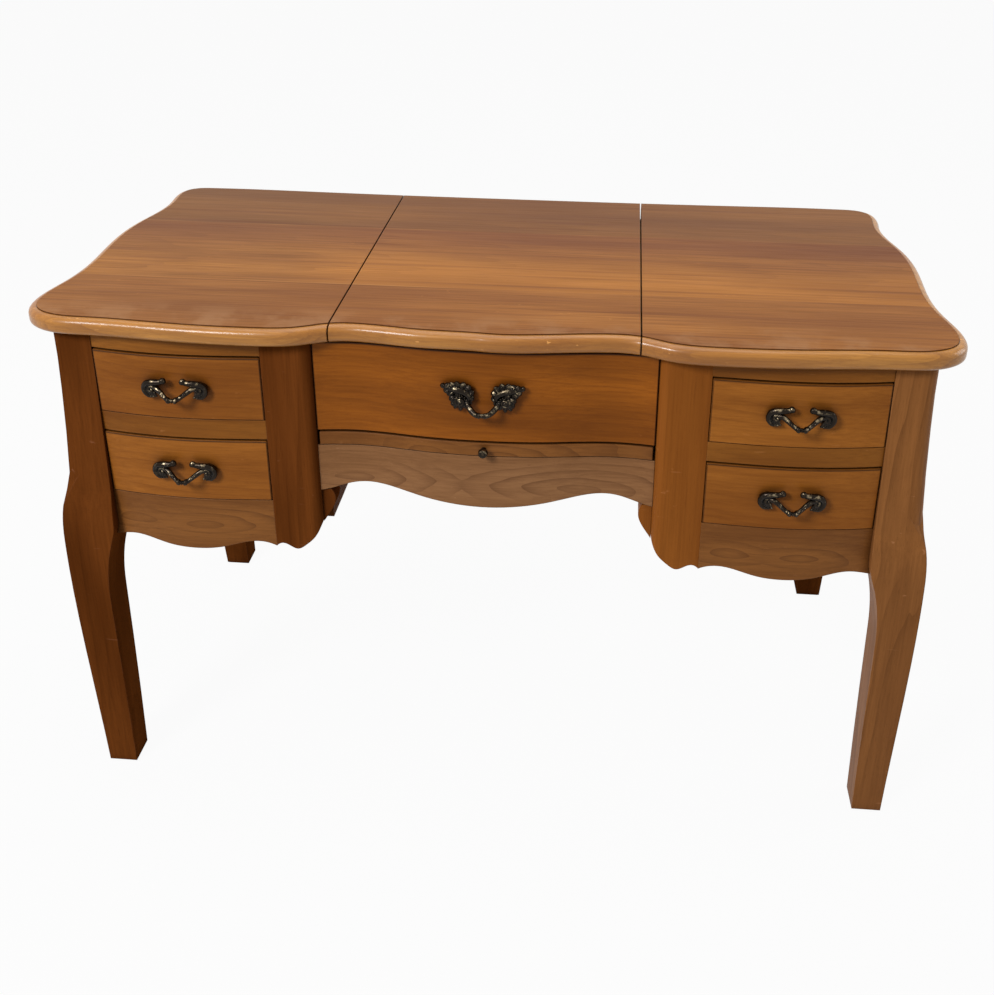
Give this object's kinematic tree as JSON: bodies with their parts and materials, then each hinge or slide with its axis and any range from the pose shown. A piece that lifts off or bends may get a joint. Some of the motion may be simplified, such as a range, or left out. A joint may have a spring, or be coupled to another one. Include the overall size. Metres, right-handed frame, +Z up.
{
  "type": "dressing table",
  "caption": "Serpentine kneehole dressing table in cherry wood: lift-up top flaps, one with a mirror, drawers with cast pulls, a writing slide and cabriole legs.",
  "frame": {"origin": "floor point under the middle of the bounding box", "axes": "+X to the right of someone facing the front, +Y to the back, +Z up"},
  "size_m": [1.2004, 0.57, 0.74],
  "materials": {
    "cherry_top": "satin varnish over straight cherry grain",
    "cherry_edge": "satin varnish, lighter and a little scuffed",
    "cherry_front": "satin varnish",
    "cherry_frame": "satin varnish",
    "inner_wood": "bare planed wood",
    "aged_bronze": "dark patina with worn highlights",
    "hinge_brass": "dull brass",
    "mirror": "silvered glass"
  },
  "bodies": {
    "case": {"apron_centre": "cherry_front", "apron_left": "cherry_front", "apron_right": "cherry_front", "back_boards": "cherry_frame", "bracket_left": "cherry_frame", "bracket_right": "cherry_frame", "centre_runners": "inner_wood", "drawer_guides": "inner_wood", "dust_boards_left": "inner_wood", "dust_boards_right": "inner_wood", "hinge_case_leaves": "hinge_brass", "hinge_case_screws": "hinge_brass", "hinge_pins": "hinge_brass", "inner_post_left": "cherry_frame", "inner_post_right": "cherry_frame", "leg_back_left": "cherry_frame", "leg_back_right": "cherry_frame", "leg_front_left": "cherry_frame", "leg_front_right": "cherry_frame", "middle_rail_left": "cherry_front", "middle_rail_right": "cherry_front", "partition_left": "cherry_frame", "partition_right": "cherry_frame", "side_panel_left": "cherry_frame", "side_panel_right": "cherry_frame", "top_rail_left": "cherry_front", "top_rail_right": "cherry_front", "well_dividers": "inner_wood", "well_floors": "inner_wood", "well_fronts": "inner_wood"},
    "drawer_centre": {"drawer_centre_box": "inner_wood", "drawer_centre_front": "cherry_front", "drawer_centre_pull": "aged_bronze"},
    "drawer_lower_left": {"drawer_lower_left_box": "inner_wood", "drawer_lower_left_front": "cherry_front", "drawer_lower_left_pull": "aged_bronze"},
    "drawer_lower_right": {"drawer_lower_right_box": "inner_wood", "drawer_lower_right_front": "cherry_front", "drawer_lower_right_pull": "aged_bronze"},
    "drawer_upper_left": {"drawer_upper_left_box": "inner_wood", "drawer_upper_left_front": "cherry_front", "drawer_upper_left_pull": "aged_bronze"},
    "drawer_upper_right": {"drawer_upper_right_box": "inner_wood", "drawer_upper_right_front": "cherry_front", "drawer_upper_right_pull": "aged_bronze"},
    "flap_centre": {"flap_centre_edge": "cherry_edge", "flap_centre_hinges": "hinge_brass", "flap_centre_panel": "cherry_top", "mirror_frame": "cherry_frame", "mirror_glass": "mirror"},
    "flap_left": {"flap_left_edge": "cherry_edge", "flap_left_hinges": "hinge_brass", "flap_left_panel": "cherry_top"},
    "flap_right": {"flap_right_edge": "cherry_edge", "flap_right_hinges": "hinge_brass", "flap_right_panel": "cherry_top"},
    "writing_slide": {"slide_board": "inner_wood", "slide_knob": "aged_bronze", "slide_lip": "cherry_front"}
  },
  "joints": [
    {"name": "flap_left_hinge", "type": "hinge", "parent": "case", "child": "flap_left", "pos_m": [-0.5684, 0, 0.716], "axis": [0, -1, 0], "range_deg": [0, 95]},
    {"name": "flap_right_hinge", "type": "hinge", "parent": "case", "child": "flap_right", "pos_m": [0.5684, 0, 0.716], "axis": [0, 1, 0], "range_deg": [0, 95]},
    {"name": "flap_centre_hinge", "type": "hinge", "parent": "case", "child": "flap_centre", "pos_m": [0, 0.2634, 0.716], "axis": [-1, 0, 0], "range_deg": [0, 105]},
    {"name": "drawer_upper_left_slide", "type": "slide", "parent": "case", "child": "drawer_upper_left", "axis": [0, -1, 0], "range_m": [0, 0.3]},
    {"name": "drawer_upper_right_slide", "type": "slide", "parent": "case", "child": "drawer_upper_right", "axis": [0, -1, 0], "range_m": [0, 0.3]},
    {"name": "drawer_lower_left_slide", "type": "slide", "parent": "case", "child": "drawer_lower_left", "axis": [0, -1, 0], "range_m": [0, 0.3]},
    {"name": "drawer_lower_right_slide", "type": "slide", "parent": "case", "child": "drawer_lower_right", "axis": [0, -1, 0], "range_m": [0, 0.3]},
    {"name": "drawer_centre_slide", "type": "slide", "parent": "case", "child": "drawer_centre", "axis": [0, -1, 0], "range_m": [0, 0.3]},
    {"name": "writing_slide_slide", "type": "slide", "parent": "case", "child": "writing_slide", "axis": [0, -1, 0], "range_m": [0, 0.28]}
  ]
}
